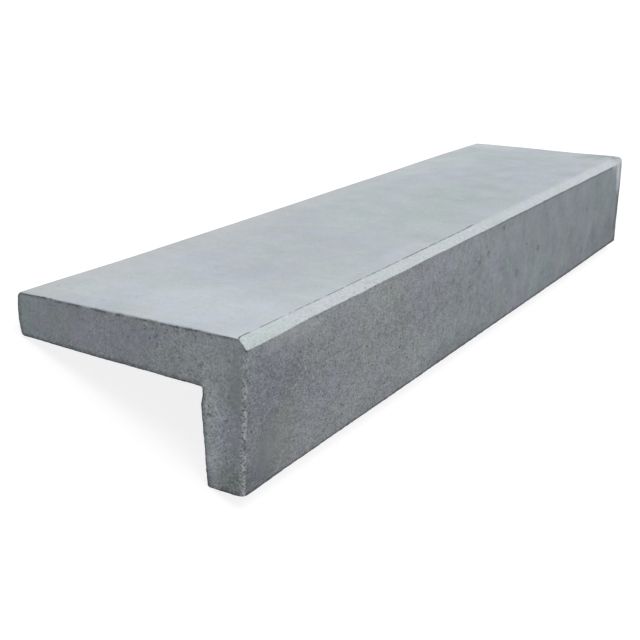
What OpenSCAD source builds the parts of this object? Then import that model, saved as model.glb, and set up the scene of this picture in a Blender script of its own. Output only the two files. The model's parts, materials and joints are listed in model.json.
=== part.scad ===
// L-shaped concrete step, cast in one piece: a tread with a riser that drops from its front
// edge. The section is drawn upright, with the riser's front face at u = 0 and its foot at
// v = 0, and is then laid as the step comes to rest on a level floor: on the inner arris of
// the riser's foot and on the lower back arris of the tread.

/* [Step] */
// Length of the step, from end to end
step_l = 1400; // [600:10:2400]
// Depth from the riser's front face to the back edge of the tread
step_d = 300; // [240:5:450]
// Height from the riser's foot to the walking face
step_h = 170; // [140:5:240]

/* [Tread] */
// Thickness of the tread at its back edge
tread_back_t = 50; // [36:1:70]
// Thickness of the tread where it meets the riser
tread_root_t = 60; // [44:1:80]
// Lean of the upper and lower halves of the back edge, in degrees
back_lean = 3.5; // [1:0.5:8]

/* [Riser] */
// Thickness of the riser at its thickest, under the recess
riser_root_t = 54; // [40:1:80]
// Thickness of the riser at its foot
riser_foot_t = 45; // [30:1:70]
// Depth of the shallow recess along the top of the riser's back
recess_d = 2; // [1:0.5:5]
// Height of the recess below the tread
recess_h = 9; // [6:1:14]
// Height over which the riser's back swells out below the recess
swell_h = 10; // [6:1:14]

/* [Edges] */
// Size of the 45 degree chamfer along the nosing
chamfer = 10; // [5:1:18]
// Radius of the two arrises of the chamfer
chamfer_r = 1.5; // [0.5:0.5:3]
// Radius of the tread's upper back edge
back_top_r = 5; // [2:0.5:9]
// Radius of the tread's lower back edge
back_low_r = 9; // [4:0.5:12]
// Radius of the fillet between the tread and the riser
corner_r = 4; // [1:0.5:5]
// Radius of the riser's inner foot arris
foot_back_r = 3; // [1:0.5:6]
// Radius of the riser's outer foot arris
foot_front_r = 2; // [1:0.5:6]
// Radius where the riser's back is thickest
swell_r = 20; // [5:1:25]
// Radius at the lower edge of the recess
recess_r = 10; // [5:1:20]

/* [Hidden] */
$fn = 180;

// The back edge is a flat arc between two leaning flats; its crown stands at step_d.
back_run = (tread_back_t / 2 - max(back_low_r, back_top_r)) * 0.8;
back_arc_r = back_run / tan(back_lean);
back_u = step_d + back_arc_r * (1 / cos(back_lean) - 1);
back_corner_u = back_u - tread_back_t / 2 * tan(back_lean);

recess_u = riser_root_t - recess_d;
root_v = step_h - tread_root_t;

// Corners of the section, anticlockwise: [u, v, radius]
CORNERS = [
    [0, 0, foot_front_r],
    [riser_foot_t, 0, foot_back_r],
    [riser_root_t, root_v - recess_h - swell_h, swell_r],
    [recess_u, root_v - recess_h, recess_r],
    [recess_u, root_v, corner_r],
    [back_corner_u, step_h - tread_back_t, back_low_r],
    [back_u, step_h - tread_back_t / 2, back_arc_r],
    [back_corner_u, step_h, back_top_r],
    [chamfer, step_h, chamfer_r],
    [0, step_h - chamfer, chamfer_r]
];
COUNT = len(CORNERS);
FOOT_FRONT = 0;
FOOT_BACK = 1;
BACK_LOW = 5;
BACK_TOP = 7;
PROUD = 0.003;

function at(i) = [CORNERS[i].x, CORNERS[i].y];
function radius(i) = CORNERS[i].z;
function along(a, b) = (b - a) / norm(b - a);
function to_last(i) = along(at(i), at((i + COUNT - 1) % COUNT));
function to_next(i) = along(at(i), at((i + 1) % COUNT));
function half_angle(i) = acos(to_last(i) * to_next(i)) / 2;
function is_convex(i) = cross(to_next(i), to_last(i)) > 0;
function run_in(i) = radius(i) / tan(half_angle(i));
function centre(i) = at(i) + along([0, 0], to_last(i) + to_next(i)) * radius(i) / sin(half_angle(i));
function round_start(i) = at(i) + to_last(i) * run_in(i);
function round_end(i) = at(i) + to_next(i) * run_in(i);

// The slice of a corner's round, a hair proud of its two flats so that they cross
module slice(i) {
    c = centre(i);
    spare = 2 * sqrt(2 * radius(i) * PROUD);
    intersection() {
        translate(c) circle(r = radius(i) + PROUD);
        polygon([
            c,
            c + (round_start(i) + to_last(i) * spare - c) * 2,
            c + (round_end(i) + to_next(i) * spare - c) * 2
        ]);
    }
}

module section() {
    difference() {
        union() {
            polygon([for (i = [0 : COUNT - 1]) each [round_start(i), round_end(i)]]);
            for (i = [0 : COUNT - 1]) if (is_convex(i)) slice(i);
        }
        for (i = [0 : COUNT - 1]) if (!is_convex(i)) slice(i);
    }
}

// Resting attitude: the line that touches both supporting rounds is level.
span = centre(BACK_LOW) - centre(FOOT_BACK);
rest_tilt = atan2(span.y, span.x) + asin((foot_back_r - back_low_r) / norm(span));
level = [cos(rest_tilt), sin(rest_tilt)];
upward = [-sin(rest_tilt), cos(rest_tilt)];
rest_front = centre(FOOT_FRONT) * level - foot_front_r - PROUD;
rest_back = centre(BACK_TOP) * level + back_top_r + PROUD;
rest_floor = centre(FOOT_BACK) * upward - foot_back_r - PROUD;

module l_step() {
    color("lightsteelblue")
        translate([-step_l / 2, -(rest_front + rest_back) / 2, -rest_floor])
            rotate([-rest_tilt, 0, 0])
                rotate([90, 0, 90])
                    linear_extrude(height = step_l) section();
}

l_step();
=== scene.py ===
"""L-shaped concrete step: one casting, shown lying as it rests unheld.

The casting is built in its own section frame, in millimetres: x runs along the length from
one end, u runs from the riser's front face to the tread's back edge, and v rises from the
riser's foot to the walking face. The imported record's flat faces say where that frame lies.
"""

import json
import math

import bpy
import numpy as np
from mathutils import Matrix, Vector
from mathutils.geometry import delaunay_2d_cdt


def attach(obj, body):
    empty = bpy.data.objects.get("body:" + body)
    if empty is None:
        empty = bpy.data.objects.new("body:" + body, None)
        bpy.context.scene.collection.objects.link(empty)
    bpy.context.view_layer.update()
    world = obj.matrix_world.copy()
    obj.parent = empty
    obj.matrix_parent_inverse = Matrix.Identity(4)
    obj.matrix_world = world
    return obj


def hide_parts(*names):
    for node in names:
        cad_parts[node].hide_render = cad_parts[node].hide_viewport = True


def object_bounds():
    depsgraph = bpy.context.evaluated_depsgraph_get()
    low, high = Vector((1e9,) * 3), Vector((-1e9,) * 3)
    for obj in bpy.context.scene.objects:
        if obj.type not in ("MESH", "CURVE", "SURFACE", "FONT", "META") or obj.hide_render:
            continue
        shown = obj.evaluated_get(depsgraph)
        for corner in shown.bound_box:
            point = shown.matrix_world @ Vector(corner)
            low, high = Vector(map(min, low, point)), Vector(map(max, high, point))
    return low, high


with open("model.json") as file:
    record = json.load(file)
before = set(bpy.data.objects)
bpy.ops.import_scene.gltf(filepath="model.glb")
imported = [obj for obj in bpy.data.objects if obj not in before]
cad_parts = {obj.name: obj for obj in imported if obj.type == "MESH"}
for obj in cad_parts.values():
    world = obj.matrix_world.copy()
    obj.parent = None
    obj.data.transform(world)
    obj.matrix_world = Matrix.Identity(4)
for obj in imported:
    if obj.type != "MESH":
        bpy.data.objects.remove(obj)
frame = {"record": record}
cad_lo, cad_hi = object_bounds()

MM = 0.001

# ---------------------------------------------------------------- section frame in the row
faces = {m["name"]: (Vector(m["pos_m"]), Vector(m["axis"])) for m in frame["record"]["mounts"]}
AXIS_X = Vector((1, 0, 0))
AXIS_V = faces["tread_top"][1].normalized()
AXIS_U = -faces["riser_front"][1].normalized()
ORIGIN = (
    AXIS_X * cad_lo.x
    + AXIS_U * faces["riser_front"][0].dot(AXIS_U)
    + AXIS_V * faces["riser_foot"][0].dot(AXIS_V)
)
BASIS = Matrix((AXIS_X, AXIS_U, AXIS_V)).transposed()

LENGTH = (cad_hi.x - cad_lo.x) / MM
HEIGHT = (faces["tread_top"][0] - ORIGIN).dot(AXIS_V) / MM
DEPTH = 300.0

# ---------------------------------------------------------------- the section's sizes, in mm
TREAD_BACK_T, TREAD_ROOT_T = 50.0, 60.0
RISER_ROOT_T, RISER_FOOT_T = 54.0, 45.0
RECESS_D, RECESS_H, SWELL_H = 2.0, 9.0, 10.0
CHAMFER = 10.0
BACK_LEAN = math.radians(3.5)
BACK_TOP_R, BACK_LOW_R = 5.0, 9.0

# ---------------------------------------------------------------- departures from it, in mm
# chosen so that the outline agrees with the one seen, and not measured on a casting
WORN_TOP_R, WORN_LOW_R = BACK_TOP_R + 1.8, BACK_LOW_R - 4.0  # the back edge's arrises
CROWN = 1.35  # rise of the walking face's middle
FAR_SAG, BACK_SAG = 1.9, 1.0  # drop of the far end's tread, and more of it at the back
BACK_BOW = 4.6  # how far the back edge is out of line by the far end
LEAN_IN = 4.0  # how far the back edge's lower part lies in from its top
OUT_OF_SQUARE = 5.0  # how far the far end's back falls short of its front
DRAWN_OUT = 4.4  # how far the far back corner's top sticks out
NOSING_FILL = 4.2  # how much fuller the nosing is at its far end
GROOVE_D = 0.85  # depth of the groove along the nosing's upper arris
GROOVE_STOP = 660  # where it has died out, from the near end

back_arc_r = (TREAD_BACK_T / 2 - max(BACK_LOW_R, BACK_TOP_R)) * 0.8 / math.tan(BACK_LEAN)
back_u = DEPTH + back_arc_r * (1 / math.cos(BACK_LEAN) - 1)
back_corner_u = back_u - TREAD_BACK_T / 2 * math.tan(BACK_LEAN)
root_v = HEIGHT - TREAD_ROOT_T

# name: u, v, radius; anticlockwise
CORNERS = [
    ("foot_front", 0, 0, 1.5),
    ("foot_back", RISER_FOOT_T, 0, 2.6),
    ("swell", RISER_ROOT_T, root_v - RECESS_H - SWELL_H, 20.0),
    ("recess", RISER_ROOT_T - RECESS_D, root_v - RECESS_H, 10.0),
    ("root", RISER_ROOT_T - RECESS_D, root_v, 4.0),
    ("back_low", back_corner_u, HEIGHT - TREAD_BACK_T, WORN_LOW_R),
    ("back_mid", back_u, HEIGHT - TREAD_BACK_T / 2, back_arc_r),
    ("back_top", back_corner_u, HEIGHT, WORN_TOP_R),
    ("nosing_top", CHAMFER, HEIGHT, 1.2),
    ("nosing_low", 0, HEIGHT - CHAMFER, 1.5),
]
NAMES = [c[0] for c in CORNERS]

# ---------------------------------------------------------------- smooth seeded noise


class Noise:
    """Value noise on a seeded lattice, from -1 to 1, sampled at points of an (n, 3) array."""

    SIDE = 48

    def __init__(self, seed):
        self.grid = np.random.default_rng(seed).uniform(-1, 1, (self.SIDE,) * 3)

    def __call__(self, points, size):
        p = np.atleast_2d(np.asarray(points, float)) / size
        cell = np.floor(p).astype(int)
        f = p - cell
        f = f * f * f * (f * (f * 6 - 15) + 10)
        total = np.zeros(len(p))
        for i in (0, 1):
            for j in (0, 1):
                for k in (0, 1):
                    w = (
                        (f[:, 0] if i else 1 - f[:, 0])
                        * (f[:, 1] if j else 1 - f[:, 1])
                        * (f[:, 2] if k else 1 - f[:, 2])
                    )
                    a, b, c = ((cell + (i, j, k)) % self.SIDE).T
                    total += w * self.grid[a, b, c]
        return total


def smoothstep(lo, hi, value):
    """0 at lo and 1 at hi with a soft ramp between; it falls where lo is above hi."""
    t = np.clip((value - lo) / (hi - lo), 0, 1)
    return t * t * (3 - 2 * t)


# ---------------------------------------------------------------- the outline and its insets
# steps along the outline, in mm: by a corner, mid-flat, round an arc, and round the two ends
FINE_STEP, COARSE_STEP, ARC_STEP, END_STEP = 1.1, 4.6, 1.3, 1.5
STEP_GROWTH = 0.22


def unit(v):
    return v / np.hypot(*v)


def graded(length, fine, coarse):
    """Fractions along a flat, closer together near its two ends."""
    d = np.linspace(0, length, 2000)
    step = np.clip(fine + STEP_GROWTH * np.minimum(d, length - d), fine, coarse)
    count = np.concatenate([[0], np.cumsum((1 / step[1:] + 1 / step[:-1]) / 2 * np.diff(d))])
    n = max(2, math.ceil(count[-1]))
    return np.interp(np.linspace(0, count[-1], n + 1), count, d) / length


def corner_rounds(inset):
    """Each corner's round once every flat is moved in by inset: centre, radius, ends."""
    pts = np.array([c[1:3] for c in CORNERS], float)
    n = len(pts)
    tangent = [unit(pts[(i + 1) % n] - pts[i]) for i in range(n)]
    normal = [np.array([t[1], -t[0]]) for t in tangent]
    out = []
    for i in range(n):
        t0, t1 = tangent[i - 1], tangent[i]
        n0, n1 = normal[i - 1], normal[i]
        convex = t0[0] * t1[1] - t0[1] * t1[0] > 0
        at = pts[i] - inset * (n0 + n1) / (1 + n0 @ n1)
        r = max(CORNERS[i][3] + (-inset if convex else inset), 0.25)
        half = math.atan2(abs(t0[0] * t1[1] - t0[1] * t1[0]), t0 @ t1) / 2
        run = r * math.tan(half)
        centre = at - t0 * run - (n0 if convex else -n0) * r
        out.append((centre, r, at - t0 * run, at + t1 * run, convex, n0, n1))
    return out


BASE = corner_rounds(0)
FLAT_STEPS = []
ARC_STEPS = []
# the walking face's last points before the nosing, from its end, to carry the groove
GROOVE_STEPS = (2.6, 2.1, 1.75, 1.4, 1.05, 0.7, 0.35)
GROOVE_CLEAR = 3.1
for i in range(len(CORNERS)):
    flat_run = np.hypot(*(BASE[(i + 1) % len(BASE)][2] - BASE[i][3]))
    steps = graded(flat_run, FINE_STEP, COARSE_STEP)
    if NAMES[i] == "back_top":
        steps = steps[steps < 1 - GROOVE_CLEAR / flat_run]
        steps = np.concatenate([steps, [1 - d / flat_run for d in GROOVE_STEPS], [1.0]])
    FLAT_STEPS.append(steps)
    turn = math.acos(np.clip(BASE[i][5] @ BASE[i][6], -1, 1))
    ARC_STEPS.append(max(2, min(9, math.ceil(turn * BASE[i][1] / ARC_STEP))))


def outline(inset):
    """Points and outward normals of the section, one for one at every inset."""
    rounds = corner_rounds(inset)
    pts, nrm = [], []
    for i, (centre, r, _, end, convex, n0, n1) in enumerate(rounds):
        a0, a1 = math.atan2(n0[1], n0[0]), math.atan2(n1[1], n1[0])
        turn = (a1 - a0 + math.pi) % (2 * math.pi) - math.pi
        for k in range(ARC_STEPS[i]):
            a = a0 + turn * k / ARC_STEPS[i]
            d = np.array([math.cos(a), math.sin(a)])
            pts.append(centre + d * r * (1 if convex else -1))
            nrm.append(d)
        nxt = rounds[(i + 1) % len(rounds)][2]
        for t in FLAT_STEPS[i][:-1]:
            pts.append(end + (nxt - end) * t)
            nrm.append(n1)
    return np.array(pts), np.array(nrm)


coarse_p, coarse_n = outline(0)
N_COARSE = len(coarse_p)
# where each corner's round and each flat begin in the list
FIRST = {}
count = 0
for i, name in enumerate(NAMES):
    FIRST[name] = count
    count += ARC_STEPS[i] + len(FLAT_STEPS[i]) - 1

# a finer outline for the ends: every step of the coarse one is cut into short pieces
edge_len = np.hypot(*(np.roll(coarse_p, -1, 0) - coarse_p).T)
CUTS = np.maximum(1, np.round(edge_len / END_STEP)).astype(int)
FINE_OF = np.concatenate([[0], np.cumsum(CUTS)])[:-1]
N_FINE = int(CUTS.sum())


def refine(rows):
    """Rows given at the coarse points, filled in evenly at the fine ones."""
    nxt = np.roll(rows, -1, 0)
    return np.concatenate(
        [rows[j] + (nxt[j] - rows[j]) * np.arange(c)[:, None] / c for j, c in enumerate(CUTS)]
    )


INSET_STEP = 0.5
INSETS = np.arange(0, 7.01, INSET_STEP)
inset_table = np.array([refine(outline(v)[0]) for v in INSETS])
fine_p = inset_table[0]
fine_n = refine(coarse_n)
fine_n /= np.hypot(*fine_n.T)[:, None]
fine_len = np.hypot(*(np.roll(fine_p, -1, 0) - fine_p).T)
FINE_S = np.concatenate([[0], np.cumsum(fine_len)])[:-1]
PERIMETER = fine_len.sum()


def inset_outline(amount):
    """The fine outline moved in by its own amount at each point."""
    k = np.clip(amount / INSET_STEP, 0, len(INSETS) - 1.001)
    lo = k.astype(int)
    f = (k - lo)[:, None]
    i = np.arange(N_FINE)
    return inset_table[lo, i] * (1 - f) + inset_table[lo + 1, i] * f


def gap_to(point_s, name):
    """Distance along the outline to the middle of a corner's round."""
    mid = FINE_S[FINE_OF[FIRST[name] + ARC_STEPS[NAMES.index(name)] // 2]]
    d = np.abs(point_s - mid)
    return np.minimum(d, PERIMETER - d)


def near(point_s, name, reach):
    """1 at a corner, falling to 0 at reach mm along the outline."""
    return 1 - smoothstep(0, reach, gap_to(point_s, name))


# which face each fine point belongs to, from its normal, as soft weights
w_top = smoothstep(0.80, 0.97, fine_n[:, 1])
w_front = smoothstep(0.80, 0.97, -fine_n[:, 0])
w_nose = smoothstep(0.93, 0.985, (fine_n[:, 1] - fine_n[:, 0]) / math.sqrt(2))

# ---------------------------------------------------------------- the arrises of the two ends
ragged, swell_noise, grit, worn = Noise(11), Noise(12), Noise(13), Noise(14)


def end_radius(side):
    """Radius of the arris all round an end; the near end's front one is the roughest."""
    along = np.stack([FINE_S, FINE_S * 0 + side * 31.0, FINE_S * 0], 1)
    r = 2.6 + 0.5 * ragged(along, 17) + 0.35 * ragged(along, 4.5)
    r -= w_top * 1.4 + w_nose * 1.2 + near(FINE_S, "foot_front", 50) * 0.9
    if side < 0:
        r += w_front * (0.8 + 0.7 * ragged(along, 9))
        lips = smoothstep(0, 0.5, ragged(along + 300, 11))
        lips = lips + 0.5 * smoothstep(0, 0.5, ragged(along + 600, 5))
        r += w_top * (0.9 * lips - 0.4)
    else:
        r += w_front * 0.3 + w_top * 1.8 + near(FINE_S, "nosing_top", 16) * 1.6
        r += near(FINE_S, "nosing_low", 16) * 2.4 + w_nose * 2.6
    return np.clip(r, 0.45, 6)


# ---------------------------------------------------------------- grid of the casting's sides
ARC = 4  # steps round an end's arris
END_RINGS = [0.9, 2.0, 3.3, 4.8, 6.5, 8.6]  # past the arris, from the end, in mm
END_X = np.array([11.0, 14.0, 18.0, 23.0, 29.0, 36.0])  # then these, and even steps between
EVEN_FROM, EVEN_COUNT = 43.5, 176
x_body = np.concatenate(
    [END_X, np.linspace(EVEN_FROM, LENGTH - EVEN_FROM, EVEN_COUNT), LENGTH - END_X[::-1]]
)

verts, normals, tris = [], [], []
end_marks = []  # per point: 0 on the sides, -1 and 1 round the two ends, -2 and 2 on their faces


def add_points(p, n, marks):
    first = len(verts)
    verts.extend(p)
    normals.extend(n)
    end_marks.extend(marks)
    return first + np.arange(len(p))


def ring_points(x, uv, n_uv, n_x):
    """A loop of section points at x, and its normals from their two parts."""
    p = np.column_stack([x + np.zeros(len(uv)), uv])
    n = np.column_stack([np.full(len(uv), n_x), n_uv])
    return p, n / np.linalg.norm(n, axis=1)[:, None]


end_loops = {}
for side in (-1, 1):
    r = end_radius(side)
    loops = []
    for k in range(ARC + 1):
        phi = math.pi / 2 * (1 - k / ARC)
        off, inset = r * (1 - math.sin(phi)), r * (1 - math.cos(phi))
        p, n = ring_points(off, inset_outline(inset), fine_n * math.cos(phi), -math.sin(phi))
        loops.append((p, n))
    for gap in END_RINGS:
        off = np.maximum(gap + 0.3, r + (gap / END_RINGS[-1]) * (END_RINGS[-1] - r) * 0.98)
        p, n = ring_points(off, fine_p, fine_n, 0.0)
        loops.append((p, n))
    made = []
    for p, n in loops:
        if side > 0:
            p, n = p * (-1, 1, 1) + (LENGTH, 0, 0), n * (-1, 1, 1)
        made.append(add_points(p, n, np.full(N_FINE, side)))
    end_loops[side] = made


def quads(a, b, flip):
    """Faces between two closed loops of the same count; b lies further along x."""
    for j in range(len(a)):
        k = (j + 1) % len(a)
        q = (a[j], a[k], b[k], b[j])
        if flip:
            q = q[::-1]
        tris.append((q[0], q[1], q[2]))
        tris.append((q[0], q[2], q[3]))


for side in (-1, 1):
    for a, b in zip(end_loops[side][:-1], end_loops[side][1:]):
        quads(a, b, side > 0)

# outline points near these arrises get closer steps along the length
DENSE_REACH, SPLIT = 4.2, 3
DENSE = np.zeros(N_COARSE, bool)
for name in ("nosing_top", "nosing_low", "foot_front", "back_top"):
    DENSE |= gap_to(FINE_S[FINE_OF], name) < DENSE_REACH

columns = []  # per coarse outline point: indices of its points along x
x_dense = np.concatenate(
    [x_body[i] + (x_body[i + 1] - x_body[i]) * np.arange(SPLIT) / SPLIT
     for i in range(len(x_body) - 1)] + [x_body[-1:]]
)
for j in range(N_COARSE):
    xs = x_dense if DENSE[j] else x_body
    count = len(xs)
    p = np.column_stack([xs, np.tile(coarse_p[j], (count, 1))])
    n = np.tile([0.0, coarse_n[j, 0], coarse_n[j, 1]], (count, 1))
    columns.append(add_points(p, n, np.zeros(count)))


def fan(left, right):
    """Triangles between two runs of points that share their two ends' places."""
    i = j = 0
    a, b = len(left) - 1, len(right) - 1
    while i < a or j < b:
        if j >= b or (i < a and (i + 1) / a <= (j + 1) / b):
            tris.append((left[i], right[j], left[i + 1]))
            i += 1
        else:
            tris.append((left[i], right[j], right[j + 1]))
            j += 1


for j in range(N_COARSE):
    k = (j + 1) % N_COARSE
    sj, sk = (SPLIT if DENSE[j] else 1), (SPLIT if DENSE[k] else 1)
    for i in range(len(x_body) - 1):
        fan(columns[j][i * sj:(i + 1) * sj + 1], columns[k][i * sk:(i + 1) * sk + 1])
    # stitch the fine end rings to the first and last points of this step
    for side in (-1, 1):
        loop = end_loops[side][-1]
        fine = [loop[(FINE_OF[j] + c) % N_FINE] for c in range(CUTS[j] + 1)]
        cell = [columns[j][0 if side < 0 else -1], columns[k][0 if side < 0 else -1]]
        mark = len(tris)
        fan(fine, cell)
        if side < 0:
            tris[mark:] = [t[::-1] for t in tris[mark:]]

# ---------------------------------------------------------------- the two end faces
FRONT_STRIP = 10.5  # the finer points' strip behind the front arris
ROW_GAP = 0.87  # between the rows of a staggered grid, in steps
JITTER = 0.22
CLEARANCE = 1.25  # kept free along the rim


def scattered(rng):
    """Jittered points over the section's box, finer in a strip behind the front arris."""
    fills = []
    for step, u_end, u_from in ((3.1, DEPTH, FRONT_STRIP), (1.7, FRONT_STRIP - 1, 0.0)):
        gu, gv = np.meshgrid(np.arange(2.0, u_end, step), np.arange(2.0, HEIGHT, step * ROW_GAP))
        gu[1::2] += step / 2
        spots = np.column_stack([gu.ravel(), gv.ravel()])
        spots += rng.uniform(-JITTER, JITTER, spots.shape) * step
        fills.append(spots[spots[:, 0] > u_from])
    return np.concatenate(fills)


def inside_of(rim_uv, spots):
    """The spots that lie inside the rim and clear of its points."""
    inside = np.zeros(len(spots), bool)
    gap_sq = np.full(len(spots), np.inf)
    for a, b in zip(rim_uv, np.roll(rim_uv, -1, 0)):
        hit = (a[1] > spots[:, 1]) != (b[1] > spots[:, 1])
        if hit.any():
            u_at = a[0] + (spots[:, 1] - a[1]) / (b[1] - a[1] + 1e-12) * (b[0] - a[0])
            inside ^= hit & (spots[:, 0] < u_at)
        gap_sq = np.minimum(gap_sq, (spots[:, 0] - a[0]) ** 2 + (spots[:, 1] - a[1]) ** 2)
    return spots[inside & (gap_sq > CLEARANCE ** 2)]


def fill_end(side):
    """Triangles over one end face, between its rim and the scattered points."""
    rim = end_loops[side][0]
    rim_uv = np.array([verts[i][1:] for i in rim])
    spots = inside_of(rim_uv, scattered(np.random.default_rng(40 + side)))
    count = len(spots)
    x_face = np.full(count, 0.0 if side < 0 else LENGTH)
    added = add_points(
        np.column_stack([x_face, spots]), np.tile([float(side), 0, 0], (count, 1)),
        np.full(count, 2.0 * side),
    )
    order = list(rim) + list(added)
    rim_edges = [(i, (i + 1) % N_FINE) for i in range(N_FINE)]
    places = [Vector(p) for p in np.concatenate([rim_uv, spots])]
    filled = delaunay_2d_cdt(places, rim_edges, [], 1, 1e-5)
    made_from = [ids[0] for ids in filled[3]]
    for face in filled[2]:
        t = tuple(order[made_from[i]] for i in face)
        a, b, c = (np.array(verts[i][1:]) for i in t)
        winding = (b[0] - a[0]) * (c[1] - a[1]) - (b[1] - a[1]) * (c[0] - a[0])
        tris.append(t if (winding > 0) == (side > 0) else t[::-1])


fill_end(-1)
fill_end(1)

P = np.array(verts)
N = np.array(normals)
END = np.array(end_marks)
end_face = np.abs(END) > 1.5

# ---------------------------------------------------------------- relief
top = smoothstep(0.85, 0.99, N[:, 2]) * ~end_face
front = smoothstep(0.85, 0.99, -N[:, 1])
nose = smoothstep(0.93, 0.985, (N[:, 2] - N[:, 1]) / math.sqrt(2)) * ~end_face
formed = 1 - np.clip(top + nose, 0, 1)
x, u, v = P.T
from_far = LENGTH - x
along_x = np.column_stack([x, x * 0, x * 0])

lift = 0.28 * swell_noise(P, 190) + 0.12 * swell_noise(P, 70) + formed * 0.10 * swell_noise(P, 22)
# the walking face is slightly crowned
across = np.clip((u - CHAMFER) / (DEPTH - CHAMFER), 0, 1)
lift += top * CROWN * (1 - (2 * across - 1) ** 2) * (0.35 + 0.65 * smoothstep(0, 240, from_far))
moved = P + N * lift[:, None]
# the tread sags towards its far end, and its back edge rises a little at the near one
upper = smoothstep(HEIGHT - 50, HEIGHT - 4, v)
moved[:, 2] -= smoothstep(190, 0, from_far) * upper * (
    FAR_SAG * smoothstep(12, 110, u) + BACK_SAG * smoothstep(170, 300, u))
back_lift = 0.9 * smoothstep(170, 0, x) + 0.5 * smoothstep(230, 110, x)
moved[:, 2] += back_lift * smoothstep(170, 295, u) * upper
# the back edge leans in below its top, and runs slightly out of line towards the far end
leaning = LEAN_IN * np.clip((HEIGHT - v - 13) / 37, 0, 1) ** 1.6
moved[:, 1] += (BACK_BOW * smoothstep(520, 1350, x) - 0.45 * smoothstep(300, 60, x) - leaning) * (
    smoothstep(235, 292, u))
# the far end is out of square
moved[:, 0] -= OUT_OF_SQUARE * smoothstep(160, 0, from_far) * np.clip(u / DEPTH, 0, 1)
# the far back corner is drawn out along its top and rounded at its end
drawn_out = smoothstep(262, 294, u) * smoothstep(HEIGHT - 34, HEIGHT - 8, v)
moved[:, 1] += DRAWN_OUT * smoothstep(150, 20, from_far) * drawn_out
moved[:, 0] -= 5.0 * smoothstep(60, 0, from_far) * drawn_out
# the tread's underside rises a little towards its back
moved[:, 2] += 0.9 * smoothstep(200, 285, u) * smoothstep(HEIGHT - 38, HEIGHT - 50, v)
# the near end's lower front corner is worn round
moved[:, 2] += 1.7 * np.exp(-(x ** 2 + u ** 2) / 25.0) * smoothstep(8, 0, v)
# the foot runs down towards its front arris, most of all at the near end
moved[:, 2] -= (
    (0.3 + 1.2 * smoothstep(85, 8, x) - 0.8 * smoothstep(1050, 1350, x))
    * smoothstep(45, 10, u) * smoothstep(34, 4, v)
)
# the nosing is fuller at its far end
off_middle = (v - (HEIGHT - CHAMFER / 2)) + (u - CHAMFER / 2)
filled = NOSING_FILL * np.exp(-(from_far / 30.0) ** 2) * np.clip(1 - (off_middle / 10.5) ** 2, 0, 1)
filled *= np.exp(-(((v - HEIGHT) - (u - CHAMFER)) / 5.0) ** 2)
moved += np.column_stack([x * 0, -filled, filled]) / math.sqrt(2)
# the riser is a touch fuller than drawn
moved[:, 1] += 1.0 * smoothstep(0.8, 0.98, N[:, 1]) * (v < root_v)

# rough band on both sides of the near front arris, and granular relief by the other arrises
band = smoothstep(6.6, 1.4, x) * smoothstep(7.8, 2.8, u)
band *= smoothstep(HEIGHT - 10, HEIGHT - 15, v)
moved += N * (band * (0.26 * grit(P, 2.3) + 0.20 * grit(P, 4.7)))[:, None]
near_rim = smoothstep(5, 1.5, np.minimum(x, from_far)) * (1 - band)
moved += N * (near_rim * 0.16 * grit(P, 2.6))[:, None]

# the far end's front arris stands slightly proud near the nosing
moved[:, 1] -= 0.35 * smoothstep(34, 8, from_far) * front * smoothstep(70, 150, v)

# the nosing's lower arris and the foot's front arris wander
wander = 0.45 * worn(along_x, 37) + 0.28 * worn(along_x + (0, 0, 5), 11)
low_arris = np.exp(-((v - (HEIGHT - CHAMFER)) ** 2 + u ** 2) / 9.0) * ~end_face
moved[:, 2] += (wander - 1.6 * smoothstep(150, 20, x)) * low_arris
moved[:, 2] -= 1.8 * smoothstep(85, 45, from_far) * low_arris
foot_arris = np.exp(-(v ** 2 + u ** 2) / 7.0) * ~end_face
moved += N * (foot_arris * (0.22 * worn(P, 6) - 0.1))[:, None]

# a fine groove follows the nosing's upper arris, and dies out past mid-length
groove_u = CHAMFER + 1.9 + 0.25 * worn(along_x + (0, 9, 0), 31) - 2.0 * smoothstep(8, 1, x)
groove_u += 1.7 * smoothstep(600, 645, x)
gaps = worn(along_x + (0, 20, 0), 14) + 0.8 * worn(along_x + (0, 30, 0), 6)
groove_w = 0.46 + 0.22 * smoothstep(110, 10, x) + 0.30 * smoothstep(180, 520, x) + 0.12 * gaps
groove = np.exp(-((u - groove_u) / groove_w) ** 2) * (v > HEIGHT - 1.2)
groove *= smoothstep(GROOVE_STOP, GROOVE_STOP - 35, x) * smoothstep(0.6, 2.0, x)
groove *= np.clip(smoothstep(-0.8, 0.3, gaps + 0.25), 0.25, 1)
moved[:, 2] -= GROOVE_D * groove

# bites out of the arrises: each is a ball that takes away what it overlaps
NEAR_TOP_BITES, FAR_TOP_BITES, FRONT_BITES, LOW_BITES = 46, 22, 34, 60
broken = np.zeros(len(P))


def bite(points, centre, radius):
    """Pushes the points inside a ball out to its surface, and marks them."""
    d = points - centre
    dist = np.linalg.norm(d, axis=1)
    hit = (dist < radius) & (dist > 1e-6)
    points[hit] = centre + d[hit] / dist[hit][:, None] * radius
    broken[hit] = 1.0


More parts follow.
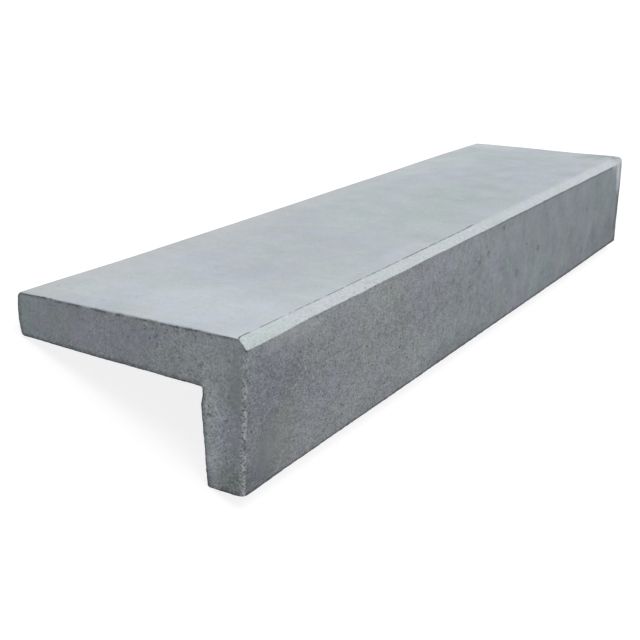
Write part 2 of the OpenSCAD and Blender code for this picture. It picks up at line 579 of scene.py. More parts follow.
chance = np.random.default_rng(7)
top_run = (CHAMFER + 3, DEPTH - 6)
for _ in range(NEAR_TOP_BITES):  # the near end's top arris
    at_u = chance.uniform(*top_run)
    size = chance.uniform(1.2, 2.6)
    bite(moved, (-size * 0.55, at_u, HEIGHT + size * chance.uniform(0.25, 0.55)), size)
for _ in range(FAR_TOP_BITES):  # the far end's top arris
    at_u = chance.uniform(*top_run)
    size = chance.uniform(1.2, 2.6)
    bite(moved, (LENGTH + size * 0.55, at_u, HEIGHT + size * chance.uniform(0.3, 0.6)), size)
for _ in range(FRONT_BITES):  # the two front arrises
    at_v = chance.uniform(4, HEIGHT - CHAMFER - 3)
    size = chance.uniform(1.0, 2.4)
    at_x = -size * 0.45 if chance.random() < 0.7 else LENGTH + size * 0.6
    bite(moved, (at_x, -size * chance.uniform(0.3, 0.55), at_v), size)
for _ in range(LOW_BITES):  # the nosing's lower arris and the foot
    at_x = chance.uniform(15, LENGTH - 15)
    size = chance.uniform(1.5, 3.2)
    if chance.random() < 0.5:
        bite(moved, (at_x, -size * 0.72, HEIGHT - CHAMFER + size * 0.25), size)
    else:
        bite(moved, (at_x, -size * 0.62, -size * 0.35), size)

# ---------------------------------------------------------------- tone, grain and tint
tone = np.zeros(len(P))  # added to the material's own brightness of about 1
grain = np.ones(len(P))  # how strong the grain is
tint = np.zeros(len(P))  # below 0 greenish, above 0 violet
DARKEST = -0.62
patchy = Noise(21)
is_end_near = (END == -2) | ((END == -1) & (N[:, 0] < -0.7))
ANY = 1e4  # a stain's reach across the face that it lies on


def stain(face, centre, size, dark=0.0, grainy=0.0, hue=0.0):
    """A soft patch on one face: how much it darkens, roughens and tints, by its middle."""
    d = (P - centre) / size
    waver = 0.35 * patchy(P, 0.6 * min(size))
    weight = smoothstep(1.25, 0.35, np.linalg.norm(d, axis=1) + waver) * face
    tone[:] -= dark * weight
    grain[:] += grainy * weight
    tint[:] += hue * weight


# front face, with painted light: lighter towards its top and darker at its foot, as light from above
# falls on it
tone += front * (0.045 * smoothstep(100, 158, v) - 0.05 * smoothstep(34, 0, v))
# each stain: middle x, v; reach x, v; darker, grainier, tint
for at_x, at_v, reach_x, reach_v, *change in (
    (30, 70, 95, 95, 0.09, 0.0, 0.0),
    (120, 95, 95, 48, 0.07, 0.0, 0.0),
    (44, 122, 66, 46, 0.045, 0.0, 1.0),
    (66, 46, 46, 40, 0.07, -0.25, -0.7),
    (150, 108, 60, 26, 0.0, 0.1, -0.1),
    (10, 30, 50, 62, 0.08, 0.0, -0.1),
    (40, 34, 26, 28, 0.0, -0.5, 0.0),
    (12, 4, 64, 30, 0.25, -0.2, 0.3),
    (26, 17, 19, 14, 0.05, -0.3, 0.6),
    (96, 152, 76, 12, -0.20, -0.40, -0.6),
    (180, 60, 48, 34, 0.0, 0.1, 0.4),
    (335, 150, 110, 17, -0.12, 0.0, -0.4),
    (300, 128, 120, 26, -0.06, 0.0, -0.1),
    (255, 35, 110, 34, -0.04, 0.0, -0.2),
    (400, 50, 110, 40, -0.05, 0.1, 0.0),
    (455, 118, 55, 30, 0.0, 0.0, 0.9),
    (560, 138, 120, 24, -0.12, 0.1, 0.3),
    (570, 8, 120, 22, 0.13, 0.0, -0.2),
    (650, 96, 90, 34, -0.02, 0.0, 0.5),
    (800, 125, 190, 34, -0.05, -0.1, 0.2),
    (905, 45, 70, 36, -0.05, 0.0, -0.8),
    (1000, 30, 80, 44, 0.03, 0.0, -0.3),
    (1150, 34, 170, 50, 0.08, 0.0, 0.3),
    (1310, 35, 110, 54, 0.12, 0.0, 0.1),
    (1362, 38, 34, 24, 0.08, 0.0, 0.0),
    (850, 30, 60, 40, 0.0, 0.0, 0.6),
):
    stain(front, (at_x, 0, at_v), (reach_x, ANY, reach_v), *change)
# a pale smear runs down from the nosing at the far arris, partly a painted highlight, with a dark
# line round it
smear_and_highlight_w = 13 + 16 * smoothstep(98, 112, v) + 6 * smoothstep(120, 134, v)
smear_and_highlight_w += 2.6 * ragged(P, 13) + 1.6 * ragged(P, 6)
smear_and_highlight = smoothstep(5.5, -5.5, from_far - smear_and_highlight_w) * front
smear_and_highlight *= 0.62 * smoothstep(88, 113, v) + 0.38 * smoothstep(122, 140, v)
tone -= 0.13 * front * smoothstep(13, 4, from_far - smear_and_highlight_w) * (1 - smear_and_highlight) * smoothstep(90, 112, v)
tone += 0.38 * smear_and_highlight
# and the same paleness, partly a painted highlight, hangs a little under the nosing beside it
hang = smoothstep(78, 54, from_far) * front * (
    0.25 * smoothstep(139, 150, v) + 0.45 * smoothstep(150, 158, v))
grain -= front * (0.72 * smoothstep(220, 760, x) + 0.08 * smoothstep(900, 1200, x)) + smear_and_highlight * 0.2
# near end
tone += is_end_near * 0.03
tone -= 0.045 * front * smoothstep(4, 6, x) * smoothstep(11, 7, x)
# each stain: middle u, v; reach u, v; darker, grainier, tint
for at_u, at_v, reach_u, reach_v, *change in (
    (255, 146, 52, 40, 0.02, -0.50, 0.2),
    (270, 148, 20, 34, 0.02, 0.0, 0.8),
    (292, 146, 14, 34, -0.02, -0.3, -1.1),
    (268, 128, 30, 16, -0.02, 0.0, -0.3),
    (215, 140, 22, 26, 0.0, -0.1, 0.3),
    (160, 146, 62, 30, 0.0, -0.34, 0.5),
    (122, 154, 34, 12, 0.0, 0.0, 0.7),
    (112, 130, 32, 11, 0.0, 0.0, -0.6),
    (60, 138, 46, 34, -0.09, 0.05, -0.2),
    (11, 110, 9, 78, 0.14, -0.55, 0.1),
    (12, 158, 9, 9, 0.06, 0.0, 0.0),
    (24, 76, 13, 30, -0.06, 0.45, 0.8),
    # painted light: the next two lighten the riser's end, against the shade that the floor lays there
    (44, 84, 15, 50, -0.30, 0.6, 0.0),
    (41, 28, 17, 36, -0.27, 0.1, 0.3),
    (14, 8, 26, 24, 0.27, 0.0, -0.4),
):
    stain(is_end_near, (0, at_u, at_v), (ANY, reach_u, reach_v), *change)
# nosing
for at_x, reach, hue in ((30, 75, -0.9), (230, 90, 0.8), (450, 140, -0.4), (700, 70, -0.7),
                         (890, 85, 1.0), (1000, 40, -0.6), (1200, 40, 0.4), (1290, 55, 0.6)):
    stain(nose, (at_x, 5, HEIGHT - 5), (reach, ANY, ANY), hue=hue)
# walking face
tone += top * (0.104 * smoothstep(300, 30, x) - 0.028)
by_back = smoothstep(225, 285, u)
tone += top * (0.045 * smoothstep(90, 300, x) - 0.055 * smoothstep(110, 40, x)) * by_back
# each stain: middle x, u; reach x, u; darker, grainier, tint
for at_x, at_u, reach_x, reach_u, *change in (
    (58, 66, 85, 95, -0.080, 0.2, 0.0),
    (8, 220, 50, 110, 0.03, 0.0, 0.4),
    (215, 160, 60, 60, 0.015, 0.0, 0.8),
    (345, 105, 120, 40, 0.0, 0.0, 1.1),
    (330, 22, 190, 20, -0.065, 0.0, -0.1),
    (340, 56, 140, 40, -0.035, 0.0, 0.0),
    (560, 200, 110, 60, 0.0, 0.1, -0.2),
    (760, 100, 230, 80, 0.03, 0.0, -0.7),
    (1000, 272, 150, 40, -0.03, 0.0, -0.7),
    (1130, 240, 90, 40, -0.02, 0.0, -0.6),
    (1110, 85, 190, 80, 0.035, 0.0, 0.9),
    (1365, 240, 44, 70, -0.11, 0.0, -0.4),
    (1360, 50, 46, 26, 0.16, 0.0, -0.3),
    (1280, 278, 52, 20, 0.06, 0.0, -0.1),
    (1090, 170, 150, 45, 0.05, 0.0, 0.3),
):
    stain(top, (at_x, at_u, HEIGHT), (reach_x, reach_u, ANY), *change)
# the far end of the nosing and of the walking face is darker, with a smudge along the arris
tip = smoothstep(42, 14, from_far) * smoothstep(75, 15, u)
tone -= top * 0.15 * smoothstep(15, 5, from_far) + nose * 0.70 * smoothstep(8, 2, from_far)
tone -= tip * smoothstep(HEIGHT - 8, HEIGHT - 3, v) * (
    0.20 + 0.30 * smoothstep(CHAMFER + 12, CHAMFER + 2, u))
smudge = smoothstep(15, 23, from_far) * smoothstep(56, 38, from_far)
tone -= 0.36 * smudge * smoothstep(15, 11, u) * smoothstep(HEIGHT - 8, HEIGHT - 3, v)
tone -= top * 0.12 * smoothstep(DEPTH - 11, DEPTH - 5, u)
tone += (0.020 + 0.014 * formed) * patchy(P, 120) + 0.036 * patchy(P + 500, 45) * formed
# painted shade: the arrises are darker where they turn down, away from the light
turned_down_shade = smoothstep(0.10, 0.6, -N[:, 2]) * smoothstep(0.05, 0.4, np.abs(N[:, 1]))
tone -= 0.42 * turned_down_shade * (np.abs(N[:, 0]) < 0.7)
# painted shade: a dark line along the foot, where its rounded arris lies in shade, and a painted
# shadow line under the nosing, both broader further off
afar = smoothstep(200, 1300, x)
tone -= (0.36 + 0.22 * afar) * front * smoothstep(3.2 + 4.2 * afar, 0.6 + 1.4 * afar, v)
foot_shade_line = np.exp(-((v - 2.3 - 1.4 * afar) / (1.4 + 0.8 * afar)) ** 2)
tone -= 0.38 * front * foot_shade_line * smoothstep(1000, 480, x)
under_nose_shadow = (0.09 + 0.30 * smoothstep(300, 1050, x)) * smoothstep(40, 80, from_far)
tone -= under_nose_shadow * front * smoothstep(
    HEIGHT - CHAMFER - 2.2 - 2.6 * afar, HEIGHT - CHAMFER - 0.6, v)
# painted shade: the ends' rounded arrises are darker where they turn from the light above
rounded = smoothstep(0.995, 0.85, np.abs(N[:, 0])) * smoothstep(0.02, 0.25, np.abs(N[:, 0]))
tone -= 0.50 * rounded * (1 - band) * smoothstep(0.9, 0.2, N[:, 2]) * (1 - smear_and_highlight * (END < 1))
# the far end's front arris is dark, in a ragged strip that is wider at its top and its foot
rim_w = 15 + 7 * smoothstep(130, 150, v) + (9.5 + 4.0 * ragged(P, 9)) * smoothstep(104, 94, v)
far_rim = smoothstep(rim_w, rim_w - 7.5, from_far)
mid_rim, low_rim = smoothstep(126, 112, v) * smoothstep(50, 90, v), smoothstep(88, 66, v)
tone -= far_rim * front * (0.10 + 0.25 * smear_and_highlight + 0.26 * mid_rim + 0.25 * low_rim)
tone -= 0.20 * front * smoothstep(9, 4, from_far) * smoothstep(124, 104, v)
# painted shade: the near end is darkest along its rim, where its rounded arris turns from the light,
# except at the walking face, the nosing and the front
near_rim_at = end_loops[-1][0]
rim_plain = 1 - np.clip(w_top + w_front + w_nose, 0, 1)
on_face = np.flatnonzero(END == -2)
to_rim = np.linalg.norm(P[on_face, None, 1:] - P[None, near_rim_at, 1:], axis=2)
rim_shade = np.zeros(len(P))
rim_shade[on_face] = smoothstep(3.4, 0.9, to_rim.min(1)) * rim_plain[to_rim.argmin(1)]
for loop in end_loops[-1][:ARC + 1]:
    rim_shade[loop] = rim_plain
tone -= 0.38 * rim_shade
# painted shadow: a ragged dark line just under the near end's upper arris, and down the nosing's own
# end
ragged_line = 0.7 * ragged(np.column_stack([u, x * 0, x * 0 + 77]), 14)
ragged_line = ragged_line + 0.6 * ragged(np.column_stack([u, x * 0, x * 0 + 99]), 4.1)
below = np.minimum(HEIGHT - v, (HEIGHT - CHAMFER - v + u) / math.sqrt(2))
line_w = 2.6 + 0.9 * ragged_line
under_arris_shadow = (END < 0) * smoothstep(0.5, 0.9, -N[:, 0]) * smoothstep(line_w, line_w - 1.4, below)
tone -= 0.46 * under_arris_shadow * smoothstep(-0.9, -0.1, ragged_line) * (u < DEPTH - 4)
# painted shade in the nicks of the near end's upper arris
tone -= 0.12 * broken * smoothstep(8, 2, x) * (v > HEIGHT - 5)

tone = np.maximum(tone, DARKEST)

# ---------------------------------------------------------------- mesh, in the row frame
place = np.array(BASIS)
coords = (moved * MM) @ place.T + np.array(ORIGIN)
mesh = bpy.data.meshes.new("step_casting")
mesh.from_pydata(coords.tolist(), [], np.array(tris).tolist())
mesh.update()
mesh.validate()
mesh.polygons.foreach_set("use_smooth", np.ones(len(mesh.polygons), bool))


def put(name, values):
    """Stores one number per point, for the material to read by name."""
    data = mesh.attributes.new(name, "FLOAT", "POINT").data
    data.foreach_set("value", np.asarray(values, np.float32))


upper_arris = smoothstep(0.70, 0.80, N[:, 2]) * (u < CHAMFER + 14) * (v > HEIGHT - 5) * ~end_face
near_arris = smoothstep(0.55, 0.85, N[:, 2]) * (END == -1) * (v > HEIGHT - 5) * (u > CHAMFER + 1)
on_top = np.maximum.reduce([top, upper_arris, near_arris])
put("walking_face", np.clip(on_top + nose, 0, 1))
put("warm_edge", 0.85 * top * by_back * (1 - 0.6 * smoothstep(560, 900, x)))
# past the groove, the nosing's paleness spreads softly over the arris onto the walking face
past = u - CHAMFER + 1.0 * worn(along_x + (0, 50, 0), 26) + 0.7 * worn(along_x + (0, 60, 0), 9)
pale = smoothstep(7.0, -4.5, past) * np.maximum(nose, upper_arris)
pale = nose + (pale - nose) * smoothstep(600, 720, x)
pale *= 1 - 0.45 * smoothstep(8, 3, from_far)
kept = 1 - (0.62 + 0.33 * smoothstep(126, 112, v)) * far_rim
put("nosing", np.clip(pale + np.maximum(smear_and_highlight * kept, hang), 0, 1))
band_shown = 1 - 0.42 * smoothstep(86, 104, v)
band_shown -= 0.25 * smoothstep(72, 64, v) * smoothstep(48, 54, v)
put("rough_band", band * band_shown)
put("groove", groove)
put("tone", tone)
put("grain", np.clip(grain, 0.2, 1.8))
put("tint", np.clip(tint, -1, 1))
cold = front * smoothstep(300, 1000, x) + top * 0.8 * smoothstep(300, 900, x)
cold += is_end_near * (0.30 + 0.90 * smoothstep(170, 270, u)) + 0.2
put("cold", np.clip(cold, 0, 1))
put("far_off", front * smoothstep(300, 900, x))
put("mid_way", front * smoothstep(260, 600, x) * (1 - 0.95 * smoothstep(700, 1100, x)))
put("coarse", front * smoothstep(190, 320, x) * (1 - 0.9 * smoothstep(620, 900, x)))
put("spotty", front * smoothstep(430, 650, x) * (1 - 0.65 * smoothstep(880, 1050, x)))

casting = bpy.data.objects.new("step_casting", mesh)
bpy.context.scene.collection.objects.link(casting)
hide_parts("l_step")
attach(casting, "root")


# ---------------------------------------------------------------- node helper
class Graph:
    """Short names for building a node tree."""

    def __init__(self, tree):
        self.tree = tree
        tree.nodes.clear()

    def node(self, kind, **props):
        n = self.tree.nodes.new(kind)
        for key, value in props.items():
            setattr(n, key, value)
        return n

    def put(self, socket, value):
        if hasattr(value, "is_output"):
            self.tree.links.new(value, socket)
        else:
            socket.default_value = value

    def math(self, op, *values, clamp=False):
        n = self.node("ShaderNodeMath", operation=op, use_clamp=clamp)
        for socket, value in zip(n.inputs, values):
            self.put(socket, value)
        return n.outputs[0]

    def add(self, *values):
        total = values[0]
        for v in values[1:]:
            total = self.math("ADD", total, v)
        return total

    def mul(self, *values):
        total = values[0]
        for v in values[1:]:
            total = self.math("MULTIPLY", total, v)
        return total

    def sub(self, a, b):
        return self.math("SUBTRACT", a, b)

    def span(self, value, lo, hi):
        """0 at lo and 1 at hi, with a soft ramp between."""
        n = self.node("ShaderNodeMapRange", interpolation_type="SMOOTHSTEP")
        for name, v in (("Value", value), ("From Min", lo), ("From Max", hi),
                        ("To Min", 0.0), ("To Max", 1.0)):
            self.put(n.inputs[name], v)
        return n.outputs[0]

    def scaled(self, vector, factors, shift=(0, 0, 0)):
        n = self.node("ShaderNodeMapping")
        self.put(n.inputs["Vector"], vector)
        n.inputs["Scale"].default_value = factors
        n.inputs["Location"].default_value = shift
        return n.outputs[0]

    def noise(self, vector, size, detail=0.0, rough=0.5, shift=0.0):
        """Noise centred on 0 with a spread of about 1, and features of about size mm."""
        n = self.node("ShaderNodeTexNoise")
        self.put(n.inputs["Vector"], self.scaled(vector, (1 / size,) * 3, (shift,) * 3))
        n.inputs["Scale"].default_value = 1.0
        n.inputs["Detail"].default_value = detail
        n.inputs["Roughness"].default_value = rough
        return self.math("MULTIPLY_ADD", n.outputs[0], 7.0, -3.5)

    def cells(self, vector, size, shift=0.0):
        """Scattered points in cells of size mm: distance to the nearest, three random numbers."""
        n = self.node("ShaderNodeTexVoronoi", feature="F1")
        self.put(n.inputs["Vector"], self.scaled(vector, (1 / size,) * 3, (shift,) * 3))
        n.inputs["Scale"].default_value = 1.0
        pick = self.node("ShaderNodeSeparateColor")
        self.put(pick.inputs[0], n.outputs["Color"])
        return n.outputs["Distance"], pick.outputs

    def blobs(self, vector, size, share, radius, shift=0.0, edge=0.35, uneven=0.0):
        """1 inside small spots: share of the cells have one, of a radius up to radius cells.

        edge is how soft its rim is, and uneven is added to the distance to make it ragged."""
        distance, random = self.cells(vector, size, shift)
        distance = self.add(distance, uneven)
        r = self.mul(self.span(random[0], 1 - share, 1.0), radius)
        return self.span(self.sub(distance, r), edge * radius, -edge * radius * 0.3)

    def mix(self, factor, a, b):
        n = self.node("ShaderNodeMix", data_type="RGBA")
        self.put(n.inputs[0], factor)
        self.put(n.inputs[6], a)
        self.put(n.inputs[7], b)
        return n.outputs[2]

    def tinted(self, colour, factor):
        """A colour made lighter or darker by a factor."""
        n = self.node("ShaderNodeVectorMath", operation="SCALE")
        self.put(n.inputs[0], colour)
        self.put(n.inputs["Scale"], factor)
        return n.outputs[0]

    def attribute(self, name):
        return self.node("ShaderNodeAttribute", attribute_name=name).outputs["Fac"]


# ---------------------------------------------------------------- concrete
def rgb(r, g, b):
    return (r, g, b, 1.0)


concrete = bpy.data.materials.new("cast_concrete")
concrete.use_nodes = True
g = Graph(concrete.node_tree)
position = g.node("ShaderNodeTexCoord").outputs["Object"]
section = g.node("ShaderNodeMapping", vector_type="TEXTURE")
g.put(section.inputs["Vector"], position)
section.inputs["Location"].default_value = ORIGIN
section.inputs["Rotation"].default_value = BASIS.to_euler()
section.inputs["Scale"].default_value = (MM,) * 3
pos = section.outputs[0]

is_top = g.attribute("walking_face")
is_nose = g.attribute("nosing")
in_band = g.attribute("rough_band")
in_groove = g.attribute("groove")
tone_at = g.attribute("tone")
grain_at = g.attribute("grain")
tint_at = g.attribute("tint")
cold_at = g.attribute("cold")
smooth = g.math("ADD", is_top, is_nose, clamp=True)
rough_face = g.sub(1.0, smooth)

# noises, each with a spread of about 1
cast = g.scaled(pos, (0.62, 1.0, 1.0))  # grains are drawn out along the length
n1 = g.noise(cast, 1.1, shift=17)
n2 = g.noise(cast, 2.0, shift=11)
n4 = g.noise(cast, 3.7, shift=3)
n9 = g.noise(cast, 8, 1.0, 0.5, 5)
n20 = g.noise(pos, 20, 1.0, 0.5, 7)
n45 = g.noise(pos, 45, 2.0, 0.5, 13)
n110 = g.noise(pos, 110, 2.0, 0.5, 19)
drag = g.noise(g.scaled(pos, (1.0, 0.14, 1.0)), 10, 2.0, 0.6, 41)
along = g.noise(g.scaled(pos, (0.28, 1.0, 1.0)), 22, 1.0, 0.5, 67)
streak = g.noise(g.scaled(pos, (1.0, 1.0, 0.22)), 26, 2.0, 0.6, 83)
upright = g.noise(g.scaled(pos, (1.0, 1.0, 0.45)), 7.5, 1.0, 0.5, 87)
far_off = g.attribute("far_off")
mid_way = g.attribute("mid_way")
coarse = g.attribute("coarse")
spotty = g.attribute("spotty")

sand = g.cells(cast, 2.1, 29)[1]
sand_tone = g.math("MULTIPLY_ADD", sand[2], 3.4, -1.7)

fine_grain = g.add(g.mul(n1, 0.040), g.mul(n2, 0.070), g.mul(n4, 0.062), g.mul(sand_tone, 0.085))
coarse_grain = g.add(g.mul(n9, 0.050), g.mul(n20, 0.046))
tone_formed = g.add(1.02, g.mul(fine_grain, grain_at),
                    g.mul(coarse_grain, g.math("SQRT", grain_at)),
                    g.mul(n45, 0.036), g.mul(n110, 0.030), tone_at,
                    g.mul(mid_way, g.mul(upright, 0.050)),
                    g.mul(coarse, g.add(g.mul(n4, 0.018), g.mul(n9, 0.042), g.mul(n20, 0.014))),
                    g.mul(far_off, g.add(g.mul(streak, 0.010), g.mul(n20, 0.016), g.mul(n45, 0.020))))
tone_top = g.add(1.0, g.mul(g.add(g.mul(n2, 0.014), g.mul(n4, 0.012)), grain_at),
                 g.mul(n9, 0.015), g.mul(n20, 0.018), g.mul(drag, 0.015),
                 g.mul(n45, 0.022), g.mul(n110, 0.018), tone_at,
                 g.mul(cold_at, g.add(g.mul(n45, 0.010), g.mul(n110, 0.014), g.mul(drag, -0.013),
                                      g.mul(n9, -0.009), g.mul(n20, -0.011), g.mul(along, 0.013))))
tone_nose = g.add(1.02, g.mul(n1, 0.030), g.mul(n2, 0.042), g.mul(n4, 0.024), g.mul(n9, 0.020),
                  g.mul(n45, 0.014), g.mul(tone_at, 0.5))

# tints drift between greenish, neutral and violet
hue = g.add(g.mul(g.noise(pos, 85, 2.0, 0.5, 23), 0.34),
            g.mul(g.noise(pos, 30, 1.0, 0.5, 31), 0.22),
            g.mul(far_off, g.noise(pos, 60, 1.0, 0.5, 29), 0.35),
            g.mul(is_top, g.noise(pos, 170, 1.0, 0.5, 27), 0.45),
            g.mul(is_top, g.noise(pos, 62, 1.0, 0.5, 33), 0.30), tint_at)
warm = g.span(g.noise(pos, 60, 2.0, 0.5, 37), 0.3, 1.6)
plain = g.mix(cold_at, rgb(0.346, 0.364, 0.384), rgb(0.321, 0.364, 0.390))
plain = g.mix(g.mul(warm, 0.8), plain, rgb(0.358, 0.364, 0.364))
cool = g.mix(g.span(hue, 0.0, 1.0), plain, rgb(0.338, 0.356, 0.406))
olive = g.mix(cold_at, rgb(0.343, 0.364, 0.353), rgb(0.312, 0.366, 0.376))
formed_colour = g.mix(g.span(hue, 0.0, -1.0), cool, olive)
# the walking face's colours are lighter than the formed faces': partly its smoother skin, partly
# painted light from above
plain_top = g.mix(cold_at, rgb(0.482, 0.524, 0.548), rgb(0.470, 0.522, 0.552))
cool_top = g.mix(g.span(hue, 0.0, 1.0), plain_top, rgb(0.478, 0.517, 0.572))
top_colour = g.mix(g.span(hue, 0.0, -1.0), cool_top, rgb(0.468, 0.532, 0.536))
top_colour = g.mix(g.attribute("warm_edge"), top_colour, rgb(0.490, 0.523, 0.532))
nose_hue = g.add(tint_at, g.mul(g.noise(pos, 120, 1.0, 0.5, 43), 0.25))
nose_colour = g.mix(g.span(nose_hue, 0.0, 1.0), rgb(0.584, 0.634, 0.652), rgb(0.596, 0.630, 0.670))
nose_colour = g.mix(g.span(nose_hue, 0.0, -1.0), nose_colour, rgb(0.568, 0.636, 0.640))

colour = g.mix(is_top, g.tinted(formed_colour, tone_formed), g.tinted(top_colour, tone_top))
colour = g.mix(is_nose, colour, g.tinted(nose_colour, tone_nose))

# open pores and pale grains on the formed faces, in loose clusters
cluster = g.span(g.noise(pos, 24, 2.0, 0.5, 47), -1.2, 1.2)
pore = g.math("MAXIMUM", g.blobs(cast, 3.8, 0.45, 0.30, 5), g.blobs(pos, 9.5, 0.30, 0.20, 6))
pore = g.mul(pore, rough_face, cluster, g.span(grain_at, 0.25, 0.9))
seed = g.mul(g.blobs(pos, 4.0, 0.55, 0.34, 53), rough_face, g.span(grain_at, 0.25, 0.9))
wide = g.scaled(pos, (0.8, 0.8, 1.0))  # spots in it are wider than they are tall
hole = g.mul(g.blobs(wide, 30, 0.26, 0.075, 92, 0.5), rough_face, g.span(grain_at, 0.5, 0.9))
damp = g.blobs(wide, 27, 0.75, 0.19, 98, 0.6,
               g.add(g.mul(n9, 0.045), g.mul(n4, 0.030), g.mul(upright, 0.03)))
damp = g.mul(damp, rough_face)
damp_shown = g.mul(damp, g.math("MULTIPLY_ADD", spotty, 0.52, 0.04))
colour = g.mix(damp_shown, colour, rgb(0.17, 0.19, 0.21))
colour = g.mix(g.mul(pore, 0.55), colour, rgb(0.140, 0.146, 0.156))
colour = g.mix(g.mul(hole, 0.75), colour, rgb(0.115, 0.120, 0.128))
colour = g.mix(g.mul(seed, 0.40), colour, rgb(0.50, 0.52, 0.53))

# faint scuffs and flecks on the walking face, in loose patches
tread = g.mul(is_top, g.sub(1.0, is_nose), g.span(g.noise(pos, 80, 1.0, 0.5, 61), -0.6, 1.0))
scuff = g.blobs(g.scaled(pos, (0.6, 1.0, 1.0)), 13, 0.55, 0.24, 71, 0.8, g.mul(n4, 0.06))
fleck = g.blobs(g.scaled(pos, (0.7, 1.0, 1.0)), 11, 0.50, 0.18, 73, 0.8, g.mul(n4, 0.05))
colour = g.mix(g.mul(tread, scuff, 0.34), colour, rgb(0.58, 0.63, 0.64))
colour = g.mix(g.mul(tread, fleck, 0.30), colour, rgb(0.34, 0.37, 0.38))

# small pits pepper the nosing, most of them near its lower arris
split = g.node("ShaderNodeSeparateXYZ")
g.put(split.inputs[0], pos)
low_side = g.span(split.outputs[2], HEIGHT - 3.5, HEIGHT - CHAMFER + 0.5)
pit = g.mul(g.blobs(pos, 4.2, 0.42, 0.25, 59), is_nose, g.math("MULTIPLY_ADD", low_side, 0.75, 0.25))
colour = g.mix(g.mul(pit, 0.62), colour, rgb(0.22, 0.23, 0.24))

# the rough band by the near front arris: pale grains on dark
speckle = g.add(g.mul(n1, 0.7), g.mul(n2, 1.5), g.mul(n4, 0.8), g.mul(in_band, 0.8))
speckle = g.span(speckle, -1.5, 3.2)
band_colour = g.mix(speckle, rgb(0.155, 0.168, 0.175), rgb(0.60, 0.635, 0.66))
colour = g.mix(g.mul(g.span(in_band, 0.05, 0.9), 0.66), colour, band_colour)
# the groove is darkened nearly to black: partly the seam's own dark colour, partly painted shade in
# it
colour = g.mix(g.mul(g.span(in_groove, 0.05, 0.6), 0.90), colour, rgb(0.085, 0.09, 0.10))

# heights in metres for the bump
height = g.add(
    g.mul(n1, rough_face, grain_at, 0.05 * MM),
    g.mul(n2, rough_face, grain_at, 0.09 * MM),
    g.mul(n4, rough_face, grain_at, 0.08 * MM),
    g.mul(pore, -0.5 * MM),
    g.mul(hole, -0.9 * MM),
    g.mul(seed, 0.10 * MM),
    g.mul(pit, -0.3 * MM),
    g.mul(n2, smooth, 0.006 * MM),
    g.mul(n9, smooth, 0.03 * MM),
)
bump = g.node("ShaderNodeBump")
bump.inputs["Strength"].default_value = 1.0
bump.inputs["Distance"].default_value = 1.0
g.put(bump.inputs["Height"], height)

shader = g.node("ShaderNodeBsdfPrincipled")
g.put(shader.inputs["Base Color"], colour)
g.put(shader.inputs["Roughness"], g.add(0.87, g.mul(smooth, -0.17), g.mul(n20, 0.02)))
g.put(shader.inputs["Normal"], bump.outputs[0])
shader.inputs["Specular IOR Level"].default_value = 0.3
out = g.node("ShaderNodeOutputMaterial")
g.put(out.inputs["Surface"], shader.outputs[0])
mesh.materials.append(concrete)

# ---------------------------------------------------------------- floor, world and lamp
FLOOR_SIZE = 40.0
FLOOR_GREY = 0.60  # what the floor throws back at the step
FLOOR_SHOWN, FLOOR_GLOW = 0.22, 0.85  # what the camera sees: a shadow on near white
SKY_LIGHT, SKY_SHOWN = 0.208, 1.0
SUN_STRENGTH, SUN_ANGLE, SUN_TOWARDS = 2.35, 60, (-0.04, 0.10, 1.0)


def seen_directly(graph):
    """1 for rays that should meet the plain white background."""
    path = graph.node("ShaderNodeLightPath").outputs
    return graph.math(
        "MAXIMUM", path["Is Camera Ray"],
        graph.math("MAXIMUM", path["Is Glossy Ray"], path["Is Transmission Ray"]),
    )


def mixed_shader(graph, factor, first, second):
    n = graph.node("ShaderNodeMixShader")
    for socket, value in zip(n.inputs, (factor, first, second)):
        graph.put(socket, value)
    return n.outputs[0]


def diffuse(graph, grey):
    n = graph.node("ShaderNodeBsdfDiffuse")
    n.inputs["Color"].default_value = rgb(grey, grey, grey)
    return n.outputs[0]


def white_floor():
    """White paper that keeps the step's shadow; the camera looks through it from below."""
    paper = bpy.data.materials.new("white_floor")
    paper.use_nodes = True
    graph = Graph(paper.node_tree)
    glow = graph.node("ShaderNodeEmission")
    glow.inputs["Strength"].default_value = FLOOR_GLOW
    shown = graph.node("ShaderNodeAddShader")
    graph.put(shown.inputs[0], diffuse(graph, FLOOR_SHOWN))
    graph.put(shown.inputs[1], glow.outputs[0])
    above = mixed_shader(
        graph, seen_directly(graph), diffuse(graph, FLOOR_GREY), shown.outputs[0])
    from_below = graph.mul(
        graph.node("ShaderNodeNewGeometry").outputs["Backfacing"],
        graph.node("ShaderNodeLightPath").outputs["Is Camera Ray"],
    )
    clear = graph.node("ShaderNodeBsdfTransparent").outputs[0]
    graph.put(
        graph.node("ShaderNodeOutputMaterial").inputs["Surface"],
        mixed_shader(graph, from_below, above, clear),
    )
    return paper


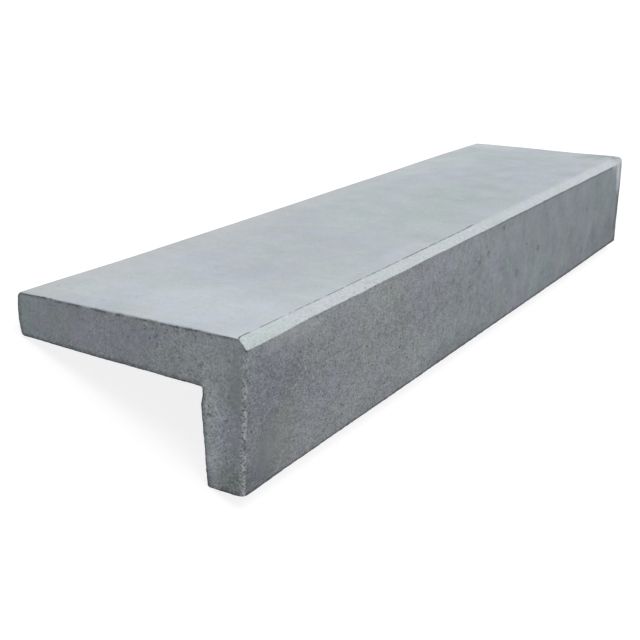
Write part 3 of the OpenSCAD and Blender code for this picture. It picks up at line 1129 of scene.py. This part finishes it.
floor_mesh = bpy.data.meshes.new("floor")
h = FLOOR_SIZE / 2
floor_mesh.from_pydata([(-h, -h, 0), (h, -h, 0), (h, h, 0), (-h, h, 0)], [], [(0, 1, 2, 3)])
floor_mesh.materials.append(white_floor())
floor = bpy.data.objects.new("floor", floor_mesh)
bpy.context.scene.collection.objects.link(floor)
floor.location.z = cad_lo.z

world = bpy.data.worlds.new("studio")
bpy.context.scene.world = world
world.use_nodes = True
sky_graph = Graph(world.node_tree)
sky = sky_graph.node("ShaderNodeBackground")
sky.inputs["Color"].default_value = rgb(1.0, 1.0, 1.0)
sky_graph.put(
    sky.inputs["Strength"],
    sky_graph.math("MULTIPLY_ADD", seen_directly(sky_graph), SKY_SHOWN - SKY_LIGHT, SKY_LIGHT),
)
sky_graph.put(sky_graph.node("ShaderNodeOutputWorld").inputs["Surface"], sky.outputs[0])

lamp = bpy.data.lights.new("overhead", "SUN")
lamp.energy = SUN_STRENGTH
lamp.angle = math.radians(SUN_ANGLE)
overhead = bpy.data.objects.new("overhead", lamp)
bpy.context.scene.collection.objects.link(overhead)
overhead.rotation_mode = "QUATERNION"
overhead.rotation_quaternion = Vector(SUN_TOWARDS).to_track_quat("Z", "Y")

# ---------------------------------------------------------------- camera
# eye and aim in the section frame, in mm, as the step is seen standing in use
EYE = Vector((-962.9, -594.3, 542.9))
AIM = Vector((302.1, 95.8, 126.1))
ROLL = math.radians(-1.82)
SENSOR, LENS = 36.0, 67.60
SHIFT_X, SHIFT_Y = 0.0172, -0.0346

camera_data = bpy.data.cameras.new("camera")
camera_data.sensor_width = SENSOR
camera_data.lens = LENS
camera_data.shift_x = SHIFT_X
camera_data.shift_y = SHIFT_Y
camera_data.clip_start, camera_data.clip_end = 0.01, 200
camera = bpy.data.objects.new("camera", camera_data)
bpy.context.scene.collection.objects.link(camera)
look = (AIM - EYE).normalized()
level = look.cross(Vector((0, 0, 1))).normalized()
camera_up = level.cross(look) * math.cos(ROLL) + level * math.sin(ROLL)
camera_right = look.cross(camera_up).normalized()
facing = BASIS @ Matrix((camera_right, camera_up, -look)).transposed()
camera.matrix_world = Matrix.Translation(ORIGIN + BASIS @ (EYE * MM)) @ facing.to_4x4()
bpy.context.scene.camera = camera
bpy.context.scene.view_settings.view_transform = "Standard"
